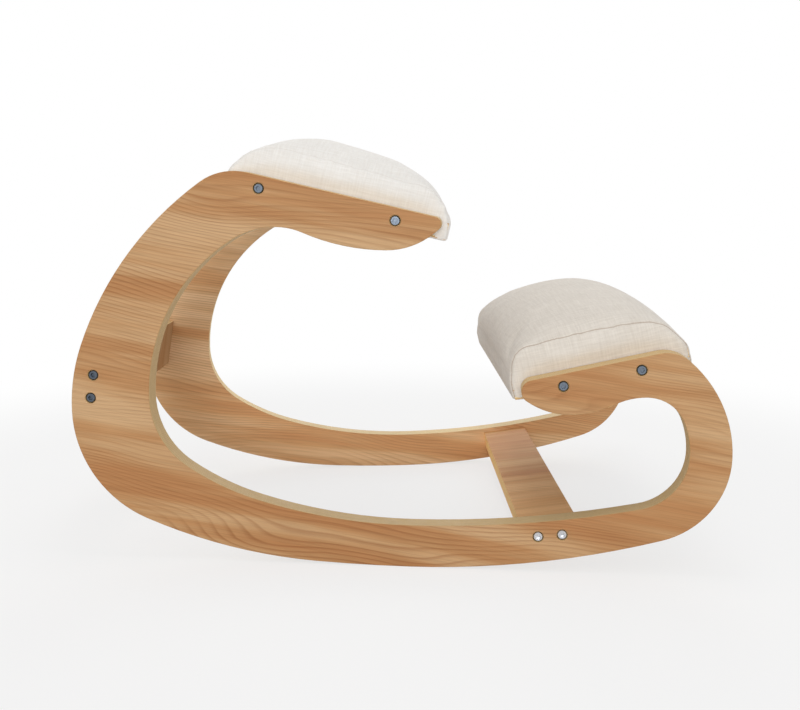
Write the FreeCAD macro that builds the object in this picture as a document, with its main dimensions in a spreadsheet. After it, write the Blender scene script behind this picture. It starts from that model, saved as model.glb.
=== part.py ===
import FreeCAD, Part
import math
import os

import Sketcher

# Rocking kneeling chair: two bent side frames cut from plywood, splayed so that the chair is narrow
# behind the seat and wide in front of the knees, two crossbars between them, and two upholstered
# cushions bolted between the arms. Millimetres and degrees. X runs forward, Y to the sitter's left,
# Z up from the floor, and the origin is on the floor under the middle of the chair's box.

SIZES = {
    # Side frame, in the plane of its outer face. Lengths run along X, heights stand on the floor.
    "frame_length": 720.0,
    "panel_thickness": 24.0,
    "edge_round": 1.2,
    "rocker_low_from_back": 378.0,
    "arm_slope_angle": 13.0,
    "frame_width": 439.0,
    "splay_angle": 5.92,
    # Seat arm: the straight top edge and the underside. The rearmost point of the frame lies a
    # little below the middle of the shoulder's height.
    "shoulder_from_back": 205.0,
    "shoulder_height": 430.0,
    "back_below_middle": 46.7,
    "seat_arm_length": 199.9,
    "seat_under_from_tip": 52.3,
    "seat_arm_depth": 47.2,
    "seat_apex_from_shoulder": 29.5,
    "seat_apex_depth": 50.4,
    # Knee arm, measured from the front of the frame. The foremost points of the outline and of the
    # opening hang below its shoulder.
    "knee_shoulder_from_front": 79.6,
    "knee_shoulder_height": 242.8,
    "front_below_shoulder": 111.809,
    "inner_front_below_shoulder": 108.899,
    "knee_arm_end_from_front": 213.1,
    "knee_under_from_front": 172.1,
    "knee_arm_depth": 46.3,
    "loop_top_from_shoulder": 10.8,
    "loop_top_depth": 44.8,
    # Width of the band at its back, bottom and front. The opening's rearmost point lies below the
    # middle between the rocker's top and the shoulder.
    "back_band": 89.4,
    "rocker_band": 47.7,
    "front_band": 44.2,
    "inner_back_below_middle": 54.65,
    "inner_low_from_back": 379.2,
    # Radii of the outer edge. Behind its low point the rocker is flatter at first than the one arc
    # that would reach the heel, by so much more radius, and then rises more tightly.
    "back_low_radius": 206.5,
    "back_high_radius": 383.0,
    "shoulder_radius": 65.0,
    "knee_shoulder_radius": 35.7,
    "toe_radius": 96.2,
    "heel_radius": 131.4,
    "heel_rise_radius": 594.0,
    "rocker_flat_extra": 860.36,
    # Radii of the inner edge. The toe's bend begins a little above the rocker's lowest top.
    "seat_tip_radius": 7.5,
    "seat_under_radius": 228.5,
    "apex_radius": 92.0,
    "inner_heel_radius": 91.0,
    "inner_rise_radius": 291.0,
    "inner_flat_extra": 62.046,
    "inner_toe_lift": 24.201,
    "loop_front_radius": 91.0,
    "loop_rear_radius": 72.0,
    "knee_tip_radius": 12.6,
    # Bolts: socket head in a counterbore, and the insert that it screws into.
    "bolt_diameter": 6.0,
    "bolt_length": 40.0,
    "head_diameter": 10.0,
    "head_height": 6.0,
    "socket_width": 5.0,
    "socket_depth": 3.0,
    "bolt_clearance": 0.6,
    "counterbore_diameter": 12.0,
    "counterbore_depth": 6.5,
    "counterbore_chamfer": 0.7,
    "insert_diameter": 9.0,
    "insert_length": 15.0,
    "insert_fit": 0.1,
    "bolt_tip_room": 3.0,
    "bolt_edge_ease": 0.6,
    "hole_overrun": 1.0,
    # Where the bolts pass through the side frames, the first of each pair from the arm's shoulder.
    "arm_bolt_drop": 13.5,
    "seat_bolt_from_shoulder": 12.1,
    "seat_bolt_spacing": 145.2,
    "knee_bolt_from_shoulder": 17.9,
    "knee_bolt_spacing": 81.0,
    "crossbar_bolt_spacing": 26.0,
    # Crossbars: boards of one section.
    "crossbar_width": 62.0,
    "crossbar_thickness": 22.0,
    "rear_bar_from_back": 24.5,
    "rear_bar_height": 196.8,
    "rear_bar_lean_angle": 9.0,
    "lower_bar_from_front": 188.7,
    "lower_bar_height": 40.5,
    "lower_bar_slope_angle": 6.6,
    # Cushions: plywood base, foam and a sewn cover that turns in under the base.
    "base_thickness": 18.0,
    "cover_thickness": 1.0,
    "hem_width": 28.0,
    "dust_cover_thickness": 0.6,
    "dust_cover_margin": 14.0,
    "seat_rear_overhang": 41.0,
    "seat_front_overhang": 56.0,
    "seat_side_height": 60.0,
    "seat_crown": 11.0,
    "seat_crest_from_rear": 70.0,
    "seat_rear_radius": 40.0,
    "seat_front_radius": 37.0,
    "seat_rear_fall": 2.0,
    "seat_front_fall": 5.0,
    "knee_rear_overhang": 54.0,
    "knee_front_overhang": 55.0,
    "knee_side_height": 62.0,
    "knee_crown": 19.0,
    "knee_crest_from_rear": 88.0,
    "knee_rear_radius": 27.0,
    "knee_front_radius": 42.0,
    "knee_rear_fall": 2.5,
    "knee_front_fall": 3.5,
    "trim_overrun": 2.0,
}

# An edge whose box is thinner than this lies in the plane of a face.
FLAT_LIMIT = 0.001
# Angle between two corners of a hexagon, seen from its middle.
HEXAGON_TURN = 60.0

doc = FreeCAD.newDocument("KneelingChair")
sheet = doc.addObject("Spreadsheet::Sheet", "Sizes")
for row, (alias, number) in enumerate(SIZES.items(), start=1):
    sheet.set("A%d" % row, alias)
    sheet.set("B%d" % row, str(number))
    sheet.setAlias("B%d" % row, alias)
doc.recompute()


# A size is a number that also carries the sheet formula it comes from, so that the same
# arithmetic places the geometry and binds the document to the sheet.
class Size(float):
    def __new__(cls, value, formula):
        size = float.__new__(cls, value)
        size.formula = formula
        return size

    def __add__(self, other):
        return Size(float(self) + float(other), "(%s + %s)" % (self.formula, formula(other)))

    def __sub__(self, other):
        return Size(float(self) - float(other), "(%s - %s)" % (self.formula, formula(other)))

    def __mul__(self, other):
        return Size(float(self) * float(other), "(%s * %s)" % (self.formula, formula(other)))

    def __truediv__(self, other):
        return Size(float(self) / float(other), "(%s / %s)" % (self.formula, formula(other)))

    def __neg__(self):
        return Size(-float(self), "(-%s)" % self.formula)


def formula(number):
    if isinstance(number, Size):
        return number.formula
    return repr(float(number))


def cell(alias):
    return Size(SIZES[alias], "Sizes.%s" % alias)


def tangent(angle):
    return Size(math.tan(math.radians(angle)), "tan(%s)" % formula(angle))


def cosine(angle):
    return Size(math.cos(math.radians(angle)), "cos(%s)" % formula(angle))


def sine(angle):
    return Size(math.sin(math.radians(angle)), "sin(%s)" % formula(angle))


def bind(item, name, size):
    item.setExpression(name, formula(size))


# A chain is a closed outline of lines and arcs, each tangent to the next. It is followed clockwise,
# a heading is an angle from the sketch's X axis, and a radius is positive where the path turns
# right. It remembers which sizes hold each piece, and turns them into constraints of a sketch.
class Chain:
    def __init__(self):
        self.pieces = []
        self.holds = []

    def hold(self, kind, piece, place, size):
        self.holds.append((kind, piece, place, size))

    def line(self, start, end):
        self.pieces.append(("line", start, end, None, None))
        return len(self.pieces) - 1

    def arc(self, start, end, centre, radius):
        self.pieces.append(("arc", start, end, centre, radius))
        return len(self.pieces) - 1

    def station(self, piece, place, x, z, level):
        self.hold("DistanceX", piece, place, x)
        self.hold("DistanceY", piece, place, z)
        if level is not None:
            self.hold("level" if level else "plumb", piece, place, None)

    # The last piece ends at a station, level or plumb there.
    def arrive(self, x, z, level):
        self.station(len(self.pieces) - 1, 1, x, z, level)

    # Two arcs between two stations, the first of a given radius.
    def two(self, start, heading, radius, end, end_heading):
        centre, other, meet, last = two_arcs(start, heading, radius, end, end_heading)
        piece = self.arc(start, meet, centre, radius)
        self.hold("Radius", piece, None, radius)
        self.arc(meet, end, other, last)

    # Two arcs between two stations, the last of a given radius.
    def two_to(self, start, heading, end, end_heading, radius):
        centre, other, meet, first = two_arcs(end, end_heading + 180.0, -radius, start, heading + 180.0)
        self.arc(start, meet, other, -first)
        piece = self.arc(meet, end, centre, radius)
        self.hold("Radius", piece, None, radius)

    # Three arcs of given radii between two stations. Two places for the middle arc would fit, and
    # the one that makes the shorter path is taken.
    def three(self, start, heading, radii, end, end_heading):
        first, middle, last = radii
        centre_a = start + side_of(heading) * first
        centre_c = end + side_of(end_heading) * last
        reach_a = abs(middle - first)
        reach_c = abs(middle - last)
        span = centre_c - centre_a
        along = (reach_a ** 2 - reach_c ** 2 + span.Length ** 2) / (2.0 * span.Length)
        off = math.sqrt(max(reach_a ** 2 - along ** 2, 0.0))
        unit = span / span.Length
        paths = []
        for side in (off, -off):
            centre_b = centre_a + unit * along + FreeCAD.Vector(unit.y, -unit.x, 0.0) * side
            meet_ab = centre_b + (centre_a - centre_b) * (middle / (middle - first))
            meet_bc = centre_b + (centre_c - centre_b) * (middle / (middle - last))
            ends = (start, meet_ab, meet_bc, end)
            centres = (centre_a, centre_b, centre_c)
            length = 0.0
            for number, radius in enumerate(radii):
                length = length + arc_length(ends[number], ends[number + 1], centres[number], radius)
            paths.append((length, ends, centres))
        length, ends, centres = min(paths, key=lambda path: path[0])
        for number, radius in enumerate(radii):
            piece = self.arc(ends[number], ends[number + 1], centres[number], radius)
            self.hold("Radius", piece, None, radius)

    def sketch(self, owner, name):
        sketch = owner.newObject("Sketcher::SketchObject", name)
        places = []
        for kind, start, end, centre, radius in self.pieces:
            if kind == "line":
                sketch.addGeometry(Part.LineSegment(start, end), False)
                places.append((1, 2))
                continue
            left = start if radius < 0.0 else end
            right = end if radius < 0.0 else start
            begin = math.atan2(left.y - centre.y, left.x - centre.x)
            finish = math.atan2(right.y - centre.y, right.x - centre.x)
            if finish <= begin:
                finish = finish + 2.0 * math.pi
            circle = Part.Circle(centre, FreeCAD.Vector(0, 0, 1), abs(radius))
            sketch.addGeometry(Part.ArcOfCircle(circle, begin, finish), False)
            places.append((1, 2) if radius < 0.0 else (2, 1))
        count = len(places)
        for piece in range(count):
            after = (piece + 1) % count
            smooth = self.is_smooth(piece, after)
            join = "Tangent" if smooth else "Coincident"
            sketch.addConstraint(
                Sketcher.Constraint(join, piece, places[piece][1], after, places[after][0])
            )
        for number, (kind, piece, place, size) in enumerate(self.holds):
            self.add_hold(sketch, places, number, kind, piece, place, size)
        return sketch

    def is_smooth(self, piece, after):
        leaving = heading_at(self.pieces[piece], 2)
        entering = heading_at(self.pieces[after], 1)
        return abs((leaving - entering + 180.0) % 360.0 - 180.0) < 0.01

    def add_hold(self, sketch, places, number, kind, piece, place, size):
        if kind == "level":
            sketch.addConstraint(Sketcher.Constraint("Vertical", piece, 3, piece, places[piece][place]))
            return
        if kind == "plumb":
            sketch.addConstraint(Sketcher.Constraint("Horizontal", piece, 3, piece, places[piece][place]))
            return
        if kind == "origin":
            sketch.addConstraint(Sketcher.Constraint("Coincident", piece, places[piece][place], -1, 1))
            return
        if kind in ("Horizontal", "Vertical"):
            sketch.addConstraint(Sketcher.Constraint(kind, piece))
            return
        if kind in ("DistanceX", "DistanceY"):
            index = sketch.addConstraint(
                Sketcher.Constraint(kind, -1, 1, piece, places[piece][place], float(size))
            )
        elif kind == "Radius":
            size = size if size > 0.0 else -size
            index = sketch.addConstraint(Sketcher.Constraint("Radius", piece, float(size)))
        elif kind == "Angle":
            angle = math.radians(size)
            index = sketch.addConstraint(Sketcher.Constraint("Angle", piece, angle))
        label = "hold_%02d" % number
        sketch.renameConstraint(index, label)
        sketch.setExpression("Constraints.%s" % label, formula(size))


def side_of(heading):
    angle = math.radians(heading)
    return FreeCAD.Vector(math.sin(angle), -math.cos(angle), 0.0)


def arc_length(start, end, centre, radius):
    begin = math.atan2(start.y - centre.y, start.x - centre.x)
    finish = math.atan2(end.y - centre.y, end.x - centre.x)
    turn = begin - finish if radius > 0.0 else finish - begin
    return turn % (2.0 * math.pi) * abs(radius)


def heading_at(piece, place):
    kind, start, end, centre, radius = piece
    if kind == "line":
        return math.degrees(math.atan2(end.y - start.y, end.x - start.x))
    point = start if place == 1 else end
    spoke = (centre - point) * (1.0 / radius)
    return math.degrees(math.atan2(spoke.x, -spoke.y))


def two_arcs(start, heading, radius, end, end_heading):
    centre = start + side_of(heading) * radius
    gap = centre - end
    toward = side_of(end_heading)
    other_radius = (gap.dot(gap) - radius ** 2) / (2.0 * (gap.dot(toward) - radius))
    other = end + toward * other_radius
    spoke = (centre - other) / (centre - other).Length
    if (other_radius - radius) * radius < 0.0:
        spoke = -spoke
    meet = centre + spoke * abs(radius)
    return centre, other, meet, other_radius


def point(x, z):
    return FreeCAD.Vector(float(x), float(z), 0.0)


# Radius of the one arc that leaves a level place and runs into a bend of a given radius, where the
# bend ends plumb at a given run and rise from that place.
def one_arc(run, rise, bend):
    reach = run - bend
    return (reach * reach + rise * rise - bend * bend) / ((rise - bend) * 2)


# The side frame's outline, followed from the back of the frame over the seat arm, through the
# opening, over the knee arm, down the front and back along the rocking edge.
def seat_line(x):
    run = x - cell("shoulder_from_back") + cell("frame_length") / 2
    return cell("shoulder_height") - run * tangent(cell("arm_slope_angle"))


def knee_line(x):
    run = cell("frame_length") / 2 - cell("knee_shoulder_from_front") - x
    return cell("knee_shoulder_height") - run * tangent(cell("arm_slope_angle"))


def from_back(alias):
    return cell(alias) - cell("frame_length") / 2


def from_front(alias):
    return cell("frame_length") / 2 - cell(alias)


def side_outline():
    chain = Chain()
    slope = cell("arm_slope_angle")
    back = -cell("frame_length") / 2
    front = cell("frame_length") / 2
    low_x = from_back("rocker_low_from_back")
    rear_z = cell("shoulder_height") / 2 - cell("back_below_middle")
    rear = point(back, rear_z)

    # Back of the frame up to the shoulder, and the seat arm's straight top.
    shoulder_x = from_back("shoulder_from_back")
    shoulder = point(shoulder_x, cell("shoulder_height"))
    radii = (cell("back_low_radius"), cell("back_high_radius"), cell("shoulder_radius"))
    chain.three(rear, 90.0, radii, shoulder, -slope)
    arm_end_x = shoulder_x + cell("seat_arm_length")
    arm_end = point(arm_end_x, seat_line(arm_end_x))
    top = chain.line(shoulder, arm_end)
    chain.station(top, 0, shoulder_x, cell("shoulder_height"), None)
    chain.hold("Angle", top, None, -slope)
    chain.hold("DistanceX", top, 1, arm_end_x)

    # Round tip of the seat arm and its underside.
    under_x = arm_end_x - cell("seat_under_from_tip")
    under_z = seat_line(under_x) - cell("seat_arm_depth")
    chain.two(arm_end, -slope, cell("seat_tip_radius"), point(under_x, under_z), -180.0)
    chain.arrive(under_x, under_z, True)
    apex_x = shoulder_x + cell("seat_apex_from_shoulder")
    apex_z = seat_line(apex_x) - cell("seat_apex_depth")
    apex = point(apex_x, apex_z)
    chain.two(point(under_x, under_z), 180.0, cell("seat_under_radius"), apex, 180.0)
    chain.arrive(apex_x, apex_z, True)

    # Inside of the back and of the rocker.
    inner_x = back + cell("back_band")
    middle = (cell("shoulder_height") + cell("rocker_band")) / 2
    inner_z = middle - cell("inner_back_below_middle")
    inner_rear = point(inner_x, inner_z)
    chain.two(apex, 180.0, -cell("apex_radius"), inner_rear, 270.0)
    chain.arrive(inner_x, inner_z, False)
    bottom_x = from_back("inner_low_from_back")
    bottom = point(bottom_x, cell("rocker_band"))
    bend = cell("inner_heel_radius")
    whole = one_arc(bottom_x - inner_x, inner_z - cell("rocker_band"), bend)
    radii = (-bend, -cell("inner_rise_radius"), -(whole + cell("inner_flat_extra")))
    chain.three(inner_rear, 270.0, radii, bottom, 360.0)
    chain.arrive(bottom_x, cell("rocker_band"), True)
    toe_x = front - cell("front_band")
    toe_z = cell("knee_shoulder_height") - cell("inner_front_below_shoulder")
    bend = toe_z - cell("rocker_band") - cell("inner_toe_lift")
    chain.two_to(bottom, 0.0, point(toe_x, toe_z), 90.0, -bend)
    chain.arrive(toe_x, toe_z, False)

    # Loop under the knee arm, and the arm's round tip.
    crest_x = from_front("knee_shoulder_from_front")
    loop_x = crest_x - cell("loop_top_from_shoulder")
    loop_z = knee_line(loop_x) - cell("loop_top_depth")
    loop = point(loop_x, loop_z)
    chain.two(point(toe_x, toe_z), 90.0, -cell("loop_front_radius"), loop, 180.0)
    chain.arrive(loop_x, loop_z, True)
    knee_x = from_front("knee_under_from_front")
    knee_z = knee_line(knee_x) - cell("knee_arm_depth")
    knee = point(knee_x, knee_z)
    chain.two(loop, 180.0, -cell("loop_rear_radius"), knee, 180.0)
    chain.arrive(knee_x, knee_z, True)
    tip_x = from_front("knee_arm_end_from_front")
    tip = point(tip_x, knee_line(tip_x))
    chain.two_to(knee, 180.0, tip, slope, cell("knee_tip_radius"))

    # Straight top of the knee arm, and down the front.
    crest = point(crest_x, cell("knee_shoulder_height"))
    top = chain.line(tip, crest)
    chain.hold("DistanceX", top, 0, tip_x)
    chain.station(top, 1, crest_x, cell("knee_shoulder_height"), None)
    chain.hold("Angle", top, None, slope)
    foot_z = cell("knee_shoulder_height") - cell("front_below_shoulder")
    foot = point(front, foot_z)
    chain.two(crest, slope, cell("knee_shoulder_radius"), foot, -90.0)
    chain.arrive(front, foot_z, False)

    # Rocking edge from the toe to the heel.
    low = point(low_x, 0.0)
    chain.two(foot, -90.0, cell("toe_radius"), low, -180.0)
    chain.arrive(low_x, rear_z * 0, True)
    bend = cell("heel_radius")
    whole = one_arc(low_x - back, rear_z, bend)
    radii = (whole + cell("rocker_flat_extra"), cell("heel_rise_radius"), bend)
    chain.three(low, 180.0, radii, rear, 90.0)
    chain.arrive(back, rear_z, False)
    return chain


# Points on the two side frames. A place is given along the outer face and above the floor, and a
# depth is measured from the outer face toward the middle of the chair.
def foot_x():
    return -cell("panel_thickness") * sine(cell("splay_angle")) / 2


def across(along, depth):
    splay = cell("splay_angle")
    return cell("frame_width") / 2 + along * sine(splay) - depth * cosine(splay)


def forward(along, depth):
    splay = cell("splay_angle")
    return foot_x() + along * cosine(splay) + depth * sine(splay)


def half_width(x, gap):
    splay = cell("splay_angle")
    inset = (cell("panel_thickness") + gap) / cosine(splay)
    return cell("frame_width") / 2 + (x - foot_x()) * tangent(splay) - inset


def place(item, x, y, z, axis, angle):
    spot = FreeCAD.Vector(float(x), float(y), float(z))
    item.Placement = FreeCAD.Placement(spot, FreeCAD.Rotation(FreeCAD.Vector(*axis), float(angle)))
    for name, size in (("x", x), ("y", y), ("z", z)):
        if isinstance(size, Size):
            bind(item, "Placement.Base.%s" % name, size)
    if isinstance(angle, Size):
        bind(item, "Placement.Rotation.Angle", angle)


def attach(sketch, body, role):
    for feature in body.Origin.OriginFeatures:
        if feature.Role == role:
            sketch.AttachmentSupport = [(feature, "")]
    sketch.MapMode = "FlatFace"


def cut_check(before, after):
    doc.recompute()
    if after.Shape.Volume > before.Shape.Volume - 1.0:
        raise RuntimeError("%s removes nothing" % after.Label)


def round_hole_sketch(body, name, spots, diameter):
    sketch = body.newObject("Sketcher::SketchObject", name)
    attach(sketch, body, "XZ_Plane")
    for number, (x, z) in enumerate(spots):
        circle = Part.Circle(point(x, z), FreeCAD.Vector(0, 0, 1), float(diameter) / 2)
        sketch.addGeometry(circle, False)
        for kind, size in (("DistanceX", x), ("DistanceY", z)):
            index = sketch.addConstraint(Sketcher.Constraint(kind, -1, 1, number, 3, float(size)))
            sketch.renameConstraint(index, "%s_%d" % (kind, number))
            sketch.setExpression("Constraints.%s_%d" % (kind, number), formula(size))
        index = sketch.addConstraint(Sketcher.Constraint("Diameter", number, float(diameter)))
        sketch.renameConstraint(index, "bore_%d" % number)
        sketch.setExpression("Constraints.bore_%d" % number, formula(diameter))
    return sketch


# A polygon in a body's plane. A zero keeps a corner on an axis; every other value is bound.
def polygon_sketch(body, name, role, corners):
    sketch = body.newObject("Sketcher::SketchObject", name)
    attach(sketch, body, role)
    count = len(corners)
    for number in range(count):
        start = point(*corners[number])
        end = point(*corners[(number + 1) % count])
        sketch.addGeometry(Part.LineSegment(start, end), False)
    for number in range(count):
        after = (number + 1) % count
        sketch.addConstraint(Sketcher.Constraint("Coincident", number, 2, after, 1))
    for number, corner in enumerate(corners):
        for kind, axis, size in (("DistanceX", -2, corner[0]), ("DistanceY", -1, corner[1])):
            if not isinstance(size, Size):
                sketch.addConstraint(Sketcher.Constraint("PointOnObject", number, 1, axis))
                continue
            index = sketch.addConstraint(Sketcher.Constraint(kind, -1, 1, number, 1, float(size)))
            sketch.renameConstraint(index, "%s_%d" % (kind, number))
            sketch.setExpression("Constraints.%s_%d" % (kind, number), formula(size))
    return sketch


def arm_bolts(line, places):
    drop = cell("arm_bolt_drop") / cosine(cell("arm_slope_angle"))
    return [(x, line(x) - drop) for x in places]


def bar_bolts(x, z, tilt):
    half = cell("crossbar_bolt_spacing") / 2
    dx = half * cosine(tilt)
    dz = half * sine(tilt)
    return [(x - dx, z - dz), (x + dx, z + dz)]


SEAT_REAR_X = from_back("shoulder_from_back") + cell("seat_bolt_from_shoulder")
KNEE_FRONT_X = from_front("knee_shoulder_from_front") - cell("knee_bolt_from_shoulder")
SEAT_BOLTS = arm_bolts(seat_line, (SEAT_REAR_X, SEAT_REAR_X + cell("seat_bolt_spacing")))
KNEE_BOLTS = arm_bolts(knee_line, (KNEE_FRONT_X - cell("knee_bolt_spacing"), KNEE_FRONT_X))
REAR_BAR_BOLTS = bar_bolts(
    from_back("rear_bar_from_back"), cell("rear_bar_height"), -cell("rear_bar_lean_angle") + 90.0
)
LOWER_BAR_BOLTS = bar_bolts(
    from_front("lower_bar_from_front"), cell("lower_bar_height"), cell("lower_bar_slope_angle")
)
ALL_BOLTS = SEAT_BOLTS + KNEE_BOLTS + REAR_BAR_BOLTS + LOWER_BAR_BOLTS


# Side frames: the outline padded to the plywood's thickness, its edges eased, then the bolt holes
# and the counterbores from the outer face, with an eased mouth.
def side_frame(node, left):
    body = doc.addObject("PartDesign::Body", node)
    outline = side_outline().sketch(body, node + "_outline")
    attach(outline, body, "XZ_Plane")
    doc.recompute()
    panel = body.newObject("PartDesign::Pad", node + "_panel")
    panel.Profile = outline
    panel.Reversed = not left
    bind(panel, "Length", cell("panel_thickness"))
    doc.recompute()
    names = []
    for number, edge in enumerate(panel.Shape.Edges, start=1):
        box = edge.BoundBox
        if box.YLength < FLAT_LIMIT:
            names.append("Edge%d" % number)
    eased = body.newObject("PartDesign::Fillet", node + "_eased")
    eased.Base = (panel, names)
    bind(eased, "Radius", cell("edge_round"))
    cut_check(panel, eased)
    hole_size = cell("bolt_diameter") + cell("bolt_clearance")
    holes = body.newObject("PartDesign::Pocket", node + "_bolt_holes")
    holes.Profile = round_hole_sketch(body, node + "_hole_centres", ALL_BOLTS, hole_size)
    holes.Reversed = left
    bind(holes, "Length", cell("panel_thickness") + cell("hole_overrun"))
    cut_check(eased, holes)
    seats = body.newObject("PartDesign::Pocket", node + "_counterbores")
    seats.Profile = round_hole_sketch(
        body, node + "_counterbore_centres", ALL_BOLTS, cell("counterbore_diameter")
    )
    seats.Reversed = left
    bind(seats, "Length", cell("counterbore_depth"))
    cut_check(holes, seats)
    names = []
    for number, edge in enumerate(seats.Shape.Edges, start=1):
        if edge.Curve.TypeId != "Part::GeomCircle" or abs(edge.BoundBox.Center.y) > FLAT_LIMIT:
            continue
        if edge.BoundBox.YLength < FLAT_LIMIT and edge.isClosed():
            names.append("Edge%d" % number)
    mouths = body.newObject("PartDesign::Chamfer", node + "_mouths")
    mouths.Base = (seats, names)
    bind(mouths, "Size", cell("counterbore_chamfer"))
    cut_check(seats, mouths)
    body.Tip = mouths
    side = 1.0 if left else -1.0
    axis = (0, 0, 1) if left else (0, 0, -1)
    place(body, foot_x(), cell("frame_width") / 2 * side, 0.0, axis, cell("splay_angle"))
    return body


left_frame = side_frame("left_side_frame", True)
right_frame = side_frame("right_side_frame", False)


# The room between the side frames, drawn in by a gap on each side. It trims whatever fits there.
def room_between(name, gap):
    room = doc.addObject("Part::Wedge", name)
    rear = -cell("frame_length") / 2
    front = cell("frame_length") / 2
    room_rear = half_width(rear, gap)
    room_front = half_width(front, gap)
    values = (
        ("Xmax", room_rear),
        ("Xmin", -room_rear),
        ("X2max", room_front),
        ("X2min", -room_front),
        ("Ymax", front),
        ("Ymin", rear),
        ("Zmax", cell("shoulder_height") * 2),
        ("Z2max", cell("shoulder_height") * 2),
        ("Zmin", -cell("shoulder_height")),
        ("Z2min", -cell("shoulder_height")),
    )
    for field, size in values:
        setattr(room, field, float(size))
    for field, size in values:
        bind(room, field, size)
    place(room, 0.0, 0.0, 0.0, (0, 0, -1), 90.0)
    return room


def boolean(kind, node, base, tool):
    item = doc.addObject("Part::%s" % kind, node)
    if kind == "Compound":
        item.Links = base
        return item
    item.Base = base
    item.Tool = tool
    return item


# Masters of the repeated pieces. Each has its axis along Y, with zero on the face it enters.
def turned_body(name, corners):
    body = doc.addObject("PartDesign::Body", name)
    sketch = polygon_sketch(body, name + "_profile", "XY_Plane", corners)
    turned = body.newObject("PartDesign::Revolution", name + "_turned")
    turned.Profile = sketch
    turned.ReferenceAxis = (sketch, ["V_Axis"])
    turned.Angle = 360.0
    doc.recompute()
    return body, turned


def bolt_master():
    head = cell("head_diameter") / 2
    shank = cell("bolt_diameter") / 2
    seat = cell("counterbore_depth")
    top = seat - cell("head_height")
    end = seat + cell("bolt_length")
    ease = cell("bolt_edge_ease")
    corners = [
        (0.0, top),
        (head - ease, top),
        (head, top + ease),
        (head, seat),
        (shank, seat),
        (shank, end - ease),
        (shank - ease, end),
        (0.0, end),
    ]
    body, turned = turned_body("socket_head_bolt", corners)
    sketch = body.newObject("Sketcher::SketchObject", "bolt_socket_outline")
    attach(sketch, body, "XZ_Plane")
    bind(sketch, "AttachmentOffset.Base.z", -top)
    radius = cell("socket_width") / 2 / cosine(HEXAGON_TURN / 2)
    for side in range(6):
        angles = (math.radians(HEXAGON_TURN * side), math.radians(HEXAGON_TURN * (side + 1)))
        ends = [point(radius * math.cos(angle), radius * math.sin(angle)) for angle in angles]
        sketch.addGeometry(Part.LineSegment(ends[0], ends[1]), False)
    circle = Part.Circle(point(0.0, 0.0), FreeCAD.Vector(0, 0, 1), float(radius))
    sketch.addGeometry(circle, True)
    for side in range(6):
        sketch.addConstraint(Sketcher.Constraint("Coincident", side, 2, (side + 1) % 6, 1))
        sketch.addConstraint(Sketcher.Constraint("PointOnObject", side, 1, 6))
    for side in range(1, 6):
        sketch.addConstraint(Sketcher.Constraint("Equal", 0, side))
    sketch.addConstraint(Sketcher.Constraint("Coincident", 6, 3, -1, 1))
    sketch.addConstraint(Sketcher.Constraint("PointOnObject", 0, 1, -1))
    index = sketch.addConstraint(Sketcher.Constraint("Radius", 6, float(radius)))
    sketch.renameConstraint(index, "corner_radius")
    sketch.setExpression("Constraints.corner_radius", formula(radius))
    socket = body.newObject("PartDesign::Pocket", "bolt_socket")
    socket.Profile = sketch
    bind(socket, "Length", cell("socket_depth"))
    cut_check(turned, socket)
    body.Tip = socket
    return body


def insert_master():
    bore = cell("bolt_diameter") / 2 + cell("insert_fit")
    outer = cell("insert_diameter") / 2
    end = cell("insert_length")
    zero = end * 0
    corners = [(bore, zero), (outer, zero), (outer, end), (bore, end)]
    return turned_body("threaded_insert", corners)[0]


def plug_master(name, diameter, start, end):
    corners = [(0.0, start), (diameter / 2, start), (diameter / 2, end), (0.0, end)]
    return turned_body(name, corners)[0]


# Copies of a master on both side frames, one at each bolt, set in by a depth.
def copies(name, master, spots, depth):
    links = []
    for number, (along, height) in enumerate(spots):
        for left in (True, False):
            link = doc.addObject("App::Link", "%s_%d%s" % (name, number, "LR"[not left]))
            link.LinkedObject = master
            side = across(along, depth)
            axis = (0, 0, 1) if left else (0, 0, -1)
            turn = cell("splay_angle") + 180.0 if left else cell("splay_angle")
            place(link, forward(along, depth), side if left else -side, height, axis, turn)
            links.append(link)
    return boolean("Compound", name, links, None)


bolt = bolt_master()
insert = insert_master()
bolt_reach = cell("counterbore_depth") + cell("bolt_length") + cell("bolt_tip_room")
bore_size = cell("insert_diameter") + cell("insert_fit") * 2
bar_bore = plug_master("bar_bore", bore_size, -cell("insert_fit"), bolt_reach - cell("panel_thickness"))
base_depth = cell("panel_thickness") + cell("cover_thickness")
base_bore = plug_master("base_bore", bore_size, -cell("insert_fit"), bolt_reach - base_depth)
cover_hole = plug_master(
    "cover_hole",
    cell("bolt_diameter") + cell("bolt_clearance"),
    -cell("cover_thickness"),
    cell("cover_thickness") * 3,
)
doc.recompute()

# Crossbars: one board across the back and one across the rocker, mitred to the splayed frames.
whole_room = room_between("room_whole", cell("edge_round") * 0)


def crossbar(node, along, height, axis, tilt, sizes, bolts):
    board = doc.addObject("Part::Box", node + "_board")
    long = cell("frame_width") + cell("frame_length") * sine(cell("splay_angle"))
    deep, tall = sizes
    for field, size in (("Length", deep), ("Width", long), ("Height", tall)):
        bind(board, field, size)
    centre_x = forward(along, cell("panel_thickness"))
    if axis[1] > 0:
        corner_x = centre_x - deep / 2 * cosine(tilt) - tall / 2 * sine(tilt)
        corner_z = height + deep / 2 * sine(tilt) - tall / 2 * cosine(tilt)
    else:
        corner_x = centre_x - deep / 2 * cosine(tilt) + tall / 2 * sine(tilt)
        corner_z = height - deep / 2 * sine(tilt) - tall / 2 * cosine(tilt)
    place(board, corner_x, -long / 2, corner_z, axis, tilt)
    trimmed = boolean("Common", node + "_mitred", board, whole_room)
    bores = copies(node + "_bores", bar_bore, bolts, cell("panel_thickness"))
    return boolean("Cut", node, trimmed, bores)


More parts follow.
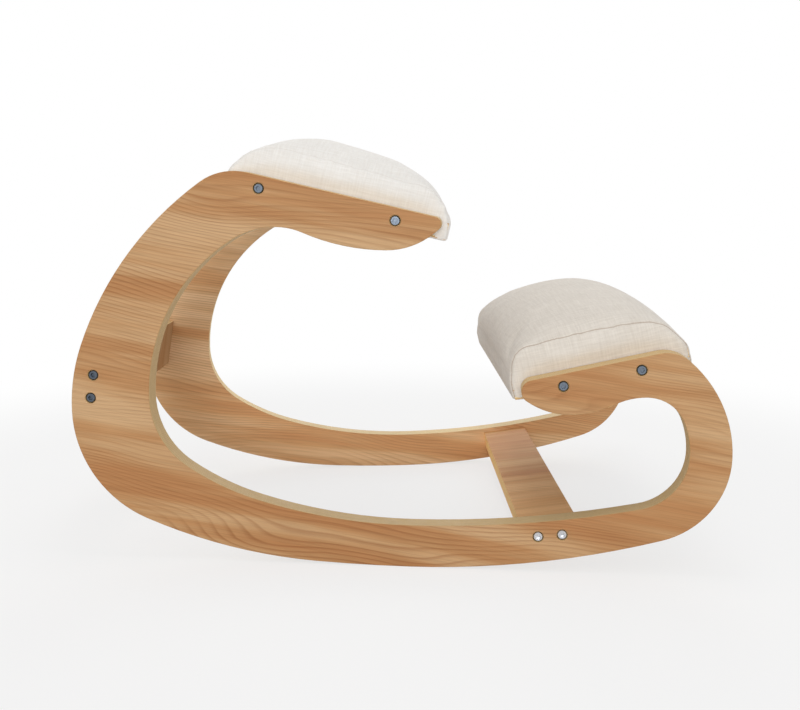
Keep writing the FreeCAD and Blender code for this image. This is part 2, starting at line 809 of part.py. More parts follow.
rear_bar = crossbar(
    "rear_crossbar",
    from_back("rear_bar_from_back"),
    cell("rear_bar_height"),
    (0, 1, 0),
    cell("rear_bar_lean_angle"),
    (cell("crossbar_thickness"), cell("crossbar_width")),
    REAR_BAR_BOLTS,
)
lower_bar = crossbar(
    "lower_crossbar",
    from_front("lower_bar_from_front"),
    cell("lower_bar_height"),
    (0, -1, 0),
    cell("lower_bar_slope_angle"),
    (cell("crossbar_width"), cell("crossbar_thickness")),
    LOWER_BAR_BOLTS,
)


# One cushion. Its frame of reference lies on the underside, at the rear edge, and slopes with the
# arms. The form is lofted through five profiles across the width, each boxed at the ends and
# crowned a little more toward the middle, and the room between the side frames trims its sides.
class Cushion:
    def __init__(self, part, bolts, rising):
        self.part = part
        self.bolts = bolts
        self.sign = 1.0 if rising else -1.0
        self.axis = (0, -1, 0) if rising else (0, 1, 0)
        splay = cell("splay_angle")
        ratio = tangent(cell("arm_slope_angle")) / cosine(splay)
        self.slope = Size(math.degrees(math.atan(ratio)), "atan(%s)" % formula(ratio))
        span = (bolts[1][0] - bolts[0][0]) / cosine(cell("arm_slope_angle"))
        overhangs = self.cell("rear_overhang") + self.cell("front_overhang")
        self.length = (span + overhangs) * cosine(splay)
        self.rear_x, self.rear_z = self.offset(
            forward(bolts[0][0], cell("panel_thickness")),
            bolts[0][1],
            -self.cell("rear_overhang") * cosine(splay),
            -cell("base_thickness") / 2 - cell("cover_thickness"),
        )

    def cell(self, name):
        return cell("%s_%s" % (self.part, name))

    def offset(self, x, z, along, up):
        cos = cosine(self.slope)
        sin = sine(self.slope) * self.sign
        return x + along * cos - up * sin, z + along * sin + up * cos

    def put(self, item, along, side, up):
        x, z = self.offset(self.rear_x, self.rear_z, along, up)
        place(item, x, side, z, self.axis, self.slope)

    def form(self, name, inset):
        body = doc.addObject("PartDesign::Body", "%s_%s" % (self.part, name))
        sections = []
        for number in range(5):
            sections.append(self.profile(body, number, inset))
        doc.recompute()
        loft = body.newObject("PartDesign::AdditiveLoft", body.Label + "_loft")
        loft.Profile = sections[0]
        loft.Sections = sections[1:]
        loft.Ruled = False
        self.put(body, inset, 0.0, inset)
        return body

    def profile(self, body, number, inset):
        share = (number - 2) / 2.0
        turn = cell("splay_angle") * abs(share)
        stretch = cosine(turn)
        bulge = self.cell("crown") * (1.0 - share * share)
        long = (self.length - inset * 2) / stretch
        height = self.cell("side_height") + bulge - inset * 2
        crest_x = (self.cell("crest_from_rear") - inset) / stretch
        rear_radius = self.cell("rear_radius") - inset
        front_radius = self.cell("front_radius") - inset
        rear_z = self.cell("side_height") - self.cell("rear_radius") - self.cell("rear_fall") - inset
        front_z = self.cell("side_height") - self.cell("front_radius") - self.cell("front_fall") - inset
        chain = Chain()
        origin = point(0.0, 0.0)
        rear = point(0.0, rear_z)
        crest = point(crest_x, height)
        front = point(long, front_z)
        foot = point(long, 0.0)
        wall = chain.line(origin, rear)
        chain.hold("origin", wall, 0, None)
        chain.hold("Vertical", wall, None, None)
        chain.hold("DistanceY", wall, 1, rear_z)
        chain.two(rear, 90.0, rear_radius, crest, 0.0)
        chain.arrive(crest_x, height, True)
        chain.two_to(crest, 0.0, front, -90.0, front_radius)
        wall = chain.line(front, foot)
        chain.hold("Vertical", wall, None, None)
        chain.hold("DistanceX", wall, 0, long)
        chain.hold("DistanceY", wall, 0, front_z)
        floor = chain.line(foot, origin)
        chain.hold("Horizontal", floor, None, None)
        sketch = chain.sketch(body, "%s_profile_%d" % (body.Label, number))
        attach(sketch, body, "XZ_Plane")
        side = (half_width(self.rear_x, 0.0) + cell("trim_overrun")) * share
        axis = FreeCAD.Vector(0, 1 if share > 0 else -1, 0)
        spot = FreeCAD.Vector(0, 0, -float(side))
        sketch.AttachmentOffset = FreeCAD.Placement(spot, FreeCAD.Rotation(axis, float(turn)))
        if share != 0.0:
            bind(sketch, "AttachmentOffset.Base.z", -side)
            bind(sketch, "AttachmentOffset.Rotation.Angle", turn)
        return sketch

    def slab(self, name, start, end, low, high):
        board = doc.addObject("Part::Box", "%s_%s" % (self.part, name))
        wide = cell("frame_width") + cell("frame_length") * sine(cell("splay_angle"))
        for field, size in (("Length", end - start), ("Width", wide), ("Height", high - low)):
            bind(board, field, size)
        self.put(board, start, -wide / 2, low)
        return board

    def build(self):
        skin = cell("cover_thickness")
        hem = cell("hem_width")
        margin = cell("dust_cover_margin")
        part = self.part
        outer = boolean("Common", part + "_outer", self.form("outer_form", skin * 0), whole_room)
        inner = boolean("Common", part + "_inner", self.form("inner_form", skin), skin_room)
        layer = self.slab("base_layer", -skin, self.length + skin, -skin, skin + cell("base_thickness"))
        base = boolean("Common", part + "_base_blank", inner, layer)
        bores = copies(part + "_base_bores", base_bore, self.bolts, base_depth)
        boolean("Cut", part + "_base_board", base, bores)
        boolean("Cut", part + "_foam", inner, layer)
        shell = boolean("Cut", part + "_cover_shell", outer, inner)
        window = self.slab("hem_window", hem, self.length - hem, -skin, skin * 2)
        opening = boolean("Common", part + "_hem_opening", window, hem_room)
        hemmed = boolean("Cut", part + "_hemmed", shell, opening)
        holes = copies(part + "_cover_holes", cover_hole, self.bolts, cell("panel_thickness"))
        boolean("Cut", part + "_cover", hemmed, holes)
        sheet_low = -cell("dust_cover_thickness")
        lining = self.slab("lining", margin, self.length - margin, sheet_low, skin * 0)
        boolean("Common", part + "_dust_cover", lining, margin_room)


skin_room = room_between("room_inside_covers", cell("cover_thickness"))
hem_room = room_between("room_inside_hems", cell("cover_thickness") + cell("hem_width"))
margin_room = room_between("room_for_dust_covers", cell("dust_cover_margin"))
Cushion("seat", SEAT_BOLTS, False).build()
Cushion("knee", KNEE_BOLTS, True).build()

# Bolts and inserts, one node for each place that they join.
copies("seat_bolts", bolt, SEAT_BOLTS, cell("edge_round") * 0)
copies("knee_bolts", bolt, KNEE_BOLTS, cell("edge_round") * 0)
copies("rear_crossbar_bolts", bolt, REAR_BAR_BOLTS, cell("edge_round") * 0)
copies("lower_crossbar_bolts", bolt, LOWER_BAR_BOLTS, cell("edge_round") * 0)
copies("seat_inserts", insert, SEAT_BOLTS, base_depth)
copies("knee_inserts", insert, KNEE_BOLTS, base_depth)
copies("rear_crossbar_inserts", insert, REAR_BAR_BOLTS, cell("panel_thickness"))
copies("lower_crossbar_inserts", insert, LOWER_BAR_BOLTS, cell("panel_thickness"))
doc.recompute()

NODES = (
    "left_side_frame",
    "right_side_frame",
    "rear_crossbar",
    "lower_crossbar",
    "seat_base_board",
    "seat_foam",
    "seat_cover",
    "seat_dust_cover",
    "knee_base_board",
    "knee_foam",
    "knee_cover",
    "knee_dust_cover",
    "seat_bolts",
    "knee_bolts",
    "rear_crossbar_bolts",
    "lower_crossbar_bolts",
    "seat_inserts",
    "knee_inserts",
    "rear_crossbar_inserts",
    "lower_crossbar_inserts",
)

for item in doc.Objects:
    if "Invalid" in item.State or "Error" in item.State:
        raise RuntimeError("%s did not compute" % item.Label)
for node in NODES:
    shape = doc.getObject(node).Shape
    if shape.isNull() or not shape.isValid() or not shape.Solids:
        raise RuntimeError("%s has no valid solid" % node)

os.makedirs("parts", exist_ok=True)
for node in NODES:
    item = doc.getObject(node)
    item.Label = node
    item.Shape.exportStep("parts/%s.step" % node)
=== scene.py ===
import math

import bmesh
import bpy
from mathutils import Matrix, Vector, kdtree
from mathutils.bvhtree import BVHTree


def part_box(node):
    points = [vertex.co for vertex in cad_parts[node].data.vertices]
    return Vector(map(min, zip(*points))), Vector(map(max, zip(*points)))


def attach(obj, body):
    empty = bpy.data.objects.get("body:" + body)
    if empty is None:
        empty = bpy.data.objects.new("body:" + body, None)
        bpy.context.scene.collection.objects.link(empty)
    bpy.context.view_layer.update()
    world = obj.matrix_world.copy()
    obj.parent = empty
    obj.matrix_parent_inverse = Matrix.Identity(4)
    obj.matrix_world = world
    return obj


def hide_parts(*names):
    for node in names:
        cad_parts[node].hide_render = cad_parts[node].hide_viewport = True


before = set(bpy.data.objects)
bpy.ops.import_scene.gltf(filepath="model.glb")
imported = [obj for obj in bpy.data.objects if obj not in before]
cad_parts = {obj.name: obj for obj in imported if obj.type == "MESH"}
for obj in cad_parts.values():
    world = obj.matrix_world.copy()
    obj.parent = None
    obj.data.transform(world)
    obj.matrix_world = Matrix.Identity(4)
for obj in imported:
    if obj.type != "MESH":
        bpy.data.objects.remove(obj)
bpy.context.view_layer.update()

# Plywood side frames. Two mirrored panels, cut from 24 mm plywood with an oiled ash face veneer and
# pale layered edges, splayed so that the chair is narrow behind the seat. The veneer's grain falls
# a little toward the front and runs straight on through every bend.
SPLAY = math.radians(5.92)
FRAME_WIDTH = 0.439
PANEL = 0.024
FOOT_X = -PANEL * math.sin(SPLAY) / 2
GRAIN_FALL = math.radians(8.5)
VENEER = 0.00045
PLY = 0.0016
RINGS_PER_METRE = 220.0
RING_WANDER = 0.16
RING_RIPPLE = 0.0035
# Painted light: the left frame's wood is made brighter than the right frame's by these factors.
# This stands in for the light that its inner face misses behind the right frame; in the real chair
# both frames are the same wood.
LEFT_FRAME_PAINTED_LIGHT = (1.42, 1.52, 1.66)


def paint(red, green, blue):
    """Linear colour of an sRGB colour that is given from 0 to 255."""
    steps = [value / 255.0 for value in (red, green, blue)]
    linear = [s / 12.92 if s <= 0.04045 else ((s + 0.055) / 1.055) ** 2.4 for s in steps]
    return (*linear, 1.0)


class Recipe:
    """A material's node tree, written one node at a time."""

    def __init__(self, name):
        self.material = bpy.data.materials.new(name)
        self.material.use_nodes = True
        self.tree = self.material.node_tree
        self.shader = self.tree.nodes["Principled BSDF"]

    def node(self, kind, **settings):
        made = self.tree.nodes.new(kind)
        for key, value in settings.items():
            setattr(made, key, value)
        return made

    def feed(self, socket, value):
        if isinstance(value, bpy.types.NodeSocket):
            self.tree.links.new(value, socket)
        else:
            socket.default_value = value

    def math(self, operation, *values):
        made = self.node("ShaderNodeMath", operation=operation)
        for socket, value in zip(made.inputs, values):
            self.feed(socket, value)
        return made.outputs[0]

    def stretch(self, vector, scale, shift):
        made = self.node("ShaderNodeMapping")
        self.feed(made.inputs["Vector"], vector)
        made.inputs["Scale"].default_value = scale
        made.inputs["Location"].default_value = shift
        return made.outputs[0]

    def noise(self, vector, scale, detail, rough, shift=(0.0, 0.0, 0.0)):
        made = self.node("ShaderNodeTexNoise")
        self.feed(made.inputs["Vector"], self.stretch(vector, scale, shift))
        made.inputs["Scale"].default_value = 1.0
        made.inputs["Detail"].default_value = detail
        made.inputs["Roughness"].default_value = rough
        return made.outputs["Fac"]

    def ramp(self, value, stops, easing="LINEAR"):
        made = self.node("ShaderNodeValToRGB")
        self.feed(made.inputs[0], value)
        made.color_ramp.interpolation = easing
        elements = made.color_ramp.elements
        while len(elements) < len(stops):
            elements.new(0.5)
        for element, (place, colour) in zip(elements, stops):
            element.position = place
            element.color = colour if isinstance(colour, tuple) else (colour, colour, colour, 1.0)
        return made.outputs[0]

    def blend(self, share, first, second, kind="MIX"):
        made = self.node("ShaderNodeMix", data_type="RGBA", blend_type=kind)
        self.feed(made.inputs[0], share)
        self.feed(made.inputs[6], first)
        self.feed(made.inputs[7], second)
        return made.outputs[2]

    def bump(self, height, strength, distance):
        made = self.node("ShaderNodeBump")
        made.inputs["Strength"].default_value = strength
        made.inputs["Distance"].default_value = distance
        self.feed(made.inputs["Height"], height)
        self.feed(self.shader.inputs["Normal"], made.outputs[0])

    def set(self, **sockets):
        for name, value in sockets.items():
            self.feed(self.shader.inputs[name.replace("_", " ")], value)


def plywood(name, grain, face, centre, thickness, seed, tone=None):
    """Ash-faced plywood. Grain and face are unit vectors; centre lies midway through the board.

    The seed picks the piece of veneer, and the tone brightens red, green and blue by its factors;
    on the left frame and the lower crossbar this brightening is painted light.
    """
    recipe = Recipe(name)
    place = recipe.node("ShaderNodeTexCoord").outputs["Object"]
    turn = Matrix((grain, face, Vector(grain).cross(Vector(face))))
    mapping = recipe.node("ShaderNodeMapping")
    mapping.inputs["Rotation"].default_value = turn.to_euler("XYZ")
    mapping.inputs["Location"].default_value = -(turn @ Vector(centre))
    recipe.feed(mapping.inputs["Vector"], place)
    board = mapping.outputs[0]
    split = recipe.node("ShaderNodeSeparateXYZ")
    recipe.feed(split.inputs[0], board)
    across = recipe.math("ABSOLUTE", split.outputs["Y"])
    depth = recipe.math("SUBTRACT", thickness / 2, across)
    is_edge = recipe.math("GREATER_THAN", depth, VENEER)

    # Face: growth rings are the contours of a tall, slowly wandering field.
    side = recipe.math("SIGN", split.outputs["Y"])
    sheet = recipe.node("ShaderNodeCombineXYZ")
    recipe.feed(sheet.inputs["X"], split.outputs["X"])
    recipe.feed(sheet.inputs["Y"], recipe.math("MULTIPLY", side, 0.7))
    recipe.feed(sheet.inputs["Z"], split.outputs["Z"])
    leaf = sheet.outputs[0]
    shift = (seed * 1.7, seed * 2.3, seed * 0.9)
    wander = recipe.noise(leaf, (1.9, 1.0, 6.5), 2.0, 0.45, shift)
    ripple = recipe.noise(leaf, (9.0, 1.0, 55.0), 2.0, 0.5, shift)
    height = recipe.math("ADD", split.outputs["Z"], recipe.math("MULTIPLY", wander, RING_WANDER))
    height = recipe.math("ADD", height, recipe.math("MULTIPLY", ripple, RING_RIPPLE))
    part = recipe.math("FRACT", recipe.math("MULTIPLY", height, RINGS_PER_METRE))
    ring = recipe.ramp(part, [(0.0, 0.0), (0.5, 0.15), (0.85, 1.0), (1.0, 0.0)])
    fade = recipe.noise(leaf, (2.0, 1.0, 12.0), 3.0, 0.6, shift)
    strength = recipe.ramp(fade, [(0.4, 0.05), (0.58, 1.0)])
    ring = recipe.math("MULTIPLY", ring, strength)
    tint = recipe.noise(leaf, (2.6, 1.0, 34.0), 3.0, 0.5, (seed * 3.1, 0.0, seed))
    warm = recipe.ramp(
        tint,
        [
            (0.36, paint(207, 169, 126)),
            (0.47, paint(199, 157, 112)),
            (0.55, paint(190, 142, 95)),
            (0.66, paint(183, 130, 83)),
        ],
    )
    dark = recipe.blend(1.0, warm, paint(203, 178, 160), "MULTIPLY")
    faced = recipe.blend(recipe.math("MULTIPLY", ring, 0.62), warm, dark)
    streak = recipe.noise(leaf, (14.0, 1.0, 900.0), 3.0, 0.65, shift)
    pores = recipe.ramp(streak, [(0.36, 0.88), (0.58, 1.03)])
    faced = recipe.blend(1.0, faced, pores, "MULTIPLY")

    # Edge: thin plies, turn about long grain and end grain, with a fine glue line between them.
    plies = recipe.math("MULTIPLY", recipe.math("ADD", across, PLY / 2), 1.0 / PLY)
    odd = recipe.math("MODULO", recipe.math("FLOOR", plies), 2.0)
    within = recipe.math("FRACT", plies)
    glue = recipe.ramp(within, [(0.0, 0.35), (0.1, 0.0), (0.9, 0.0), (1.0, 0.35)])
    wood = recipe.noise(board, (60.0, 500.0, 60.0), 3.0, 0.6)
    pale = recipe.blend(odd, paint(229, 202, 152), paint(207, 172, 119))
    pale = recipe.blend(recipe.math("MULTIPLY", glue, 0.8), pale, paint(158, 118, 76))
    pale = recipe.blend(1.0, pale, recipe.ramp(wood, [(0.3, 0.93), (0.7, 1.04)]), "MULTIPLY")
    colour = recipe.blend(is_edge, faced, pale)
    # A given tone multiplies the colour; on the left frame and the lower crossbar it is painted
    # light, making the same wood brighter where less light reaches it.
    if tone:
        colour = recipe.blend(1.0, colour, (*tone, 1.0), "MULTIPLY")
    rough = recipe.ramp(streak, [(0.3, 0.62), (0.7, 0.5)])
    recipe.set(Base_Color=colour, Roughness=rough)
    recipe.shader.inputs["Specular IOR Level"].default_value = 0.2
    relief = recipe.math("ADD", recipe.math("MULTIPLY", ring, -0.6), streak)
    recipe.bump(relief, 0.12, 0.0004)
    return recipe.material


def dress(node, material):
    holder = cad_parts[node]
    holder.data.materials.clear()
    holder.data.materials.append(material)


def panel_directions(side):
    """Grain, face and middle of a side frame: -1 is the right frame, +1 the left one."""
    along = Vector((math.cos(SPLAY), side * math.sin(SPLAY), 0.0))
    face = Vector((-side * math.sin(SPLAY), math.cos(SPLAY), 0.0))
    grain = along * math.cos(GRAIN_FALL) - Vector((0, 0, 1)) * math.sin(GRAIN_FALL)
    outer = Vector((FOOT_X, side * FRAME_WIDTH / 2, 0.0))
    return grain, face, outer - face * side * PANEL / 2


dress("right_side_frame", plywood("ash_right_frame", *panel_directions(-1), PANEL, 3.0))
# The left frame's wood is brightened as painted light.
dress("left_side_frame", plywood("ash_left_frame_painted_light", *panel_directions(1), PANEL, 8.0, LEFT_FRAME_PAINTED_LIGHT))

# Crossbars. Two boards of the same plywood, one upright behind the sitter and one lying in the
# rockers, mitred to the frames. Their face veneer runs across them, so their long edges are pale.
BAR_THICKNESS = 0.022
REAR_LEAN = math.radians(9.0)
LOWER_RISE = math.radians(6.6)
# Painted light: the lower crossbar's wood is made brighter and warmer than the frames' by these
# factors. This stands in for the light that its top face misses under the near frame and the
# cushions; it is the same plywood.
LOWER_BAR_PAINTED_LIGHT = (1.6, 1.5, 1.3)


def middle(node):
    low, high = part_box(node)
    return (low + high) / 2


upright = Vector((math.sin(REAR_LEAN), 0.0, math.cos(REAR_LEAN)))
forward = Vector((math.cos(REAR_LEAN), 0.0, -math.sin(REAR_LEAN)))
rear_middle = middle("rear_crossbar")
dress("rear_crossbar", plywood("ash_rear_bar", upright, forward, rear_middle, BAR_THICKNESS, 5.0))
lying = Vector((math.cos(LOWER_RISE), 0.0, math.sin(LOWER_RISE)))
rising = Vector((-math.sin(LOWER_RISE), 0.0, math.cos(LOWER_RISE)))
lower_middle = middle("lower_crossbar")
# The lower crossbar's wood is brightened as painted light.
lower_wood_painted_light = plywood("ash_lower_bar_painted_light", lying, rising, lower_middle, BAR_THICKNESS, 6.0, LOWER_BAR_PAINTED_LIGHT)
dress("lower_crossbar", lower_wood_painted_light)

# Socket-head screws and their inserts. Zinc-plated steel screws sit in counterbores and turn into
# brass inserts that are pressed into the crossbars and the cushions' base boards.
def metal(name, colour, rough, scale):
    """Worn bare metal; the scale is the fineness of its wear, per metre."""
    recipe = Recipe(name)
    place = recipe.node("ShaderNodeTexCoord").outputs["Object"]
    wear = recipe.noise(place, (scale, scale, scale), 4.0, 0.6)
    worn = recipe.ramp(wear, [(0.3, 0.82), (0.7, 1.08)])
    recipe.set(
        Base_Color=recipe.blend(1.0, colour, worn, "MULTIPLY"),
        Roughness=recipe.ramp(wear, [(0.3, rough + 0.1), (0.7, rough - 0.05)]),
    )
    recipe.shader.inputs["Metallic"].default_value = 1.0
    return recipe.material


FINE_WEAR = 900.0
bright_zinc = metal("bright_zinc", paint(214, 216, 220), 0.3, FINE_WEAR)
dull_zinc = metal("dull_zinc", paint(98, 106, 116), 0.34, FINE_WEAR)
insert_brass = metal("insert_brass", paint(196, 160, 92), 0.35, FINE_WEAR)
dress("lower_crossbar_bolts", bright_zinc)
for node in ("seat_bolts", "knee_bolts", "rear_crossbar_bolts"):
    dress(node, dull_zinc)
for node in ("seat_inserts", "knee_inserts", "rear_crossbar_inserts", "lower_crossbar_inserts"):
    dress(node, insert_brass)

# Base boards and dust covers. A birch plywood board lies inside each cushion, and a black felted
# cloth is stapled under it, over the turned-in cover.
ARM_ANGLE = math.radians(13.0)
ARM_SLOPE = math.atan(math.tan(ARM_ANGLE) / math.cos(SPLAY))
BASE = 0.018
BIRCH_TONE = (1.08, 1.08, 1.08)


def slope_directions(sign):
    """Along and up for a cushion: -1 falls toward the front, as the seat does, and +1 rises."""
    along = Vector((math.cos(ARM_SLOPE), 0.0, sign * math.sin(ARM_SLOPE)))
    up = Vector((-sign * math.sin(ARM_SLOPE), 0.0, math.cos(ARM_SLOPE)))
    return along, up


for node, sign in (("seat_base_board", -1), ("knee_base_board", 1)):
    along, up = slope_directions(sign)
    dress(node, plywood("birch_" + node, along, up, middle(node), BASE, 2.0, BIRCH_TONE))

felt = Recipe("black_felt")
felt_place = felt.node("ShaderNodeTexCoord").outputs["Object"]
fibres = felt.noise(felt_place, (900.0, 900.0, 900.0), 5.0, 0.7)
felt.set(Base_Color=felt.ramp(fibres, [(0.3, paint(26, 26, 28)), (0.7, paint(52, 52, 54))]))
felt.shader.inputs["Roughness"].default_value = 0.95
felt.bump(fibres, 0.3, 0.0004)
for node in ("seat_dust_cover", "knee_dust_cover"):
    dress(node, felt.material)

# Cushions. Foam on the base board, in a boxed cover of off-white linen: one strip goes over the
# rear, the top and the front, and a flat panel is sewn in at each side, against the arms. The foam
# crowns the strip between the side seams, and the cover is turned in and stapled under the board.

# Sizes are in metres. The overhangs run past the screws, whose places are given along the frame.
# Crown and fill add to the side height at the middle, the crest is counted from the rear, and each
# pair is rear and front: corner radius, fall below the crest, and the crown's share at that end.
SEAT = {
    "name": "seat",
    "sign": -1,
    "rear_overhang": 0.041,
    "front_overhang": 0.056,
    "bolts": (-0.1429, 0.0023),
    "bolt_height": 0.41336,
    "side_height": 0.060,
    "crown": 0.011,
    "fill": 0.0045,
    "crest": 0.058,
    "radii": (0.040, 0.037),
    "falls": (0.002, 0.005),
    "carries": (0.6, 0.6),
}
KNEE = {
    "name": "knee",
    "sign": 1,
    "rear_overhang": 0.054,
    "front_overhang": 0.055,
    "bolts": (0.1815, 0.2625),
    "bolt_height": 0.20614,
    "side_height": 0.062,
    "crown": 0.019,
    "fill": 0.0065,
    "crest": 0.098,
    "radii": (0.027, 0.042),
    "falls": (0.0025, 0.0035),
    "carries": (0.55, 0.75),
}
COVER = 0.001
HEM_ROUND = 0.004
ROWS = 44
SIDE_GAP = 0.0003
DRAW_IN = 0.002
DRAW_IN_RISE = 0.015
CELL = 0.005
MOST_PUFF = 0.009


def half_room(x):
    """Half the clear width between the side frames at a place along the chair."""
    return FRAME_WIDTH / 2 + (x - FOOT_X) * math.tan(SPLAY) - PANEL / math.cos(SPLAY)


def clamp(value):
    return min(max(value, 0.0), 1.0)


def arc_points(centre, radius, start, end, count):
    steps = [start + (end - start) * i / count for i in range(count + 1)]
    return [(centre[0] + radius * math.cos(a), centre[1] + radius * math.sin(a)) for a in steps]


def profile(pad, length, crown):
    """Rear, top and front of a cushion, from the rear foot to the front foot, as (along, up)."""
    high = pad["side_height"] + crown
    crest = pad["crest"]
    points = []
    for end in (0, 1):
        radius = pad["radii"][end]
        wall = pad["side_height"] - radius - pad["falls"][end] + crown * pad["carries"][end]
        reach = (crest if end == 0 else length - crest) - radius
        fall = high - wall - radius
        long_radius = (reach**2 + (radius + fall) ** 2 - radius**2) / (2 * fall)
        meet = math.atan2(long_radius - radius - fall, reach)
        hem = (HEM_ROUND, HEM_ROUND)
        half = arc_points(hem, HEM_ROUND, math.radians(270), math.radians(180), 6)
        half += [(0.0, HEM_ROUND + (wall - HEM_ROUND) * i / 5) for i in range(1, 5)]
        half += arc_points((radius, wall), radius, math.pi, math.pi - meet, 16)
        far_centre = (radius + reach, high - long_radius)
        half += arc_points(far_centre, long_radius, math.pi - meet, math.pi / 2, 22)[1:]
        if end == 1:
            half = [(length - x, z) for x, z in reversed(half)][1:]
        points += half
    return points


def pad_frame(pad):
    """The cushion's own axes: the rear foot's place, along, and up."""
    along, up = slope_directions(pad["sign"])
    rear_u, front_u = pad["bolts"]
    rear_x = FOOT_X + rear_u * math.cos(SPLAY) + PANEL * math.sin(SPLAY)
    place = Vector((rear_x, 0.0, pad["bolt_height"]))
    place -= along * pad["rear_overhang"] * math.cos(SPLAY) + up * (BASE / 2 + COVER)
    span = (front_u - rear_u) / math.cos(ARM_ANGLE)
    length = (span + pad["rear_overhang"] + pad["front_overhang"]) * math.cos(SPLAY)
    return place, along, up, length


def pad_shell(pad, draw_in):
    """The sewn cover before it is filled, as a closed mesh, drawn in a little on every side."""
    place, along, up, length = pad_frame(pad)
    rows = []
    for row in range(ROWS + 1):
        share = 2.0 * row / ROWS - 1.0
        crown = pad["crown"] * (1.0 - share**2) + pad["fill"] * (1.0 - share**4)
        line = []
        for x, z in profile(pad, length, crown):
            slack = draw_in * clamp((z - BASE) / DRAW_IN_RISE)
            x = slack + x * (length - 2 * slack) / length
            z = z * (1.0 - slack / (pad["side_height"] + crown))
            spot = place + along * x + up * z
            spot.y = share * (half_room(spot.x) - SIDE_GAP - slack * 0.4)
            line.append(spot)
        rows.append(line)
    shell = bmesh.new()
    grid = [[shell.verts.new(spot) for spot in line] for line in rows]
    for first, second in zip(grid, grid[1:]):
        for i in range(len(first) - 1):
            shell.faces.new((first[i], first[i + 1], second[i + 1], second[i]))
        shell.faces.new((first[-1], first[0], second[0], second[-1]))
    shell.faces.new(list(reversed(grid[0])))
    shell.faces.new(grid[-1])
    bmesh.ops.recalc_face_normals(shell, faces=shell.faces)
    return shell


def to_object(name, shell):
    mesh = bpy.data.meshes.new(name)
    shell.to_mesh(mesh)
    shell.free()
    made = bpy.data.objects.new(name, mesh)
    bpy.context.scene.collection.objects.link(made)
    return made


def apply_all(piece):
    """Turns a piece with live modifiers into a plain mesh."""
    depsgraph = bpy.context.evaluated_depsgraph_get()
    mesh = bpy.data.meshes.new_from_object(piece.evaluated_get(depsgraph))
    piece.modifiers.clear()
    old = piece.data
    piece.data = mesh
    bpy.data.meshes.remove(old)


def even_cells(piece):
    """Gives a piece an even grid of faces, fine enough for cloth."""
    remesh = piece.modifiers.new("cells", "REMESH")
    remesh.mode = "VOXEL"
    remesh.voxel_size = CELL
    apply_all(piece)


def fit_to_board(piece, pad):
    """Lays the lowest part of the cover tight round the base board, with room for its corners."""
    tight_below, tight_fade = 0.019, 0.012
    corner_zone, corner_room = 0.004, 0.0013
    hem_zone, hem_room = 0.004, 0.0005
    place, along, up, length = pad_frame(pad)
    sewn = pad_shell(pad, 0.0)
    tight = BVHTree.FromBMesh(sewn)
    sewn.free()
    for vertex in piece.data.vertices:
        height = (vertex.co - place).dot(up)
        grip = 1.0 - clamp((height - tight_below) / tight_fade)
        if grip > 0.0:
            nearest = tight.find_nearest(vertex.co)[0]
            vertex.co = vertex.co.lerp(nearest, grip)
            reach = (vertex.co - place).dot(along) - length / 2
            if abs(reach) > length / 2 - corner_zone:
                vertex.co += along * math.copysign(corner_room, reach) * grip
            if height < hem_zone:
                vertex.co -= up * hem_room


def inflate(piece, pad):
    """Fills the cover: cloth under a light pressure, held where the board and the arms hold it."""
    held_below, held_fade = 0.014, 0.02
    arm_zone, arm_height = 0.006, 0.026
    place, along, up, length = pad_frame(pad)
    start = [vertex.co.copy() for vertex in piece.data.vertices]
    held = piece.vertex_groups.new(name="held")
    for vertex in piece.data.vertices:
        height = (vertex.co - place).dot(up)
        beside = half_room(vertex.co.x) - abs(vertex.co.y)
        grip = 1.0 - clamp((height - held_below) / held_fade)
        if beside < arm_zone and height < arm_height:
            grip = 1.0
        held.add([vertex.index], grip, "REPLACE")
    cloth = piece.modifiers.new("filling", "CLOTH")
    settings = cloth.settings
    settings.quality = 6
    settings.mass = 0.3
    settings.tension_stiffness = 30
    settings.compression_stiffness = 30
    settings.shear_stiffness = 12
    settings.bending_stiffness = 1.5
    settings.use_pressure = True
    settings.uniform_pressure_force = 7.0
    settings.vertex_group_mass = "held"
    settings.effector_weights.gravity = 0.0
    cloth.collision_settings.use_collision = False
    scene = bpy.context.scene
    last_frame = 20
    for step in range(1, last_frame + 1):
        scene.frame_set(step)
        bpy.context.view_layer.update()
    apply_all(piece)
    scene.frame_set(1)
    for vertex, before in zip(piece.data.vertices, start):
        move = vertex.co - before
        if move.length > MOST_PUFF:
            vertex.co = before + move * (MOST_PUFF / move.length)
    smooth = piece.modifiers.new("even", "SMOOTH")
    smooth.factor = 0.5
    smooth.iterations = 3
    finer = piece.modifiers.new("finer", "SUBSURF")
    finer.levels = finer.render_levels = 1
    apply_all(piece)


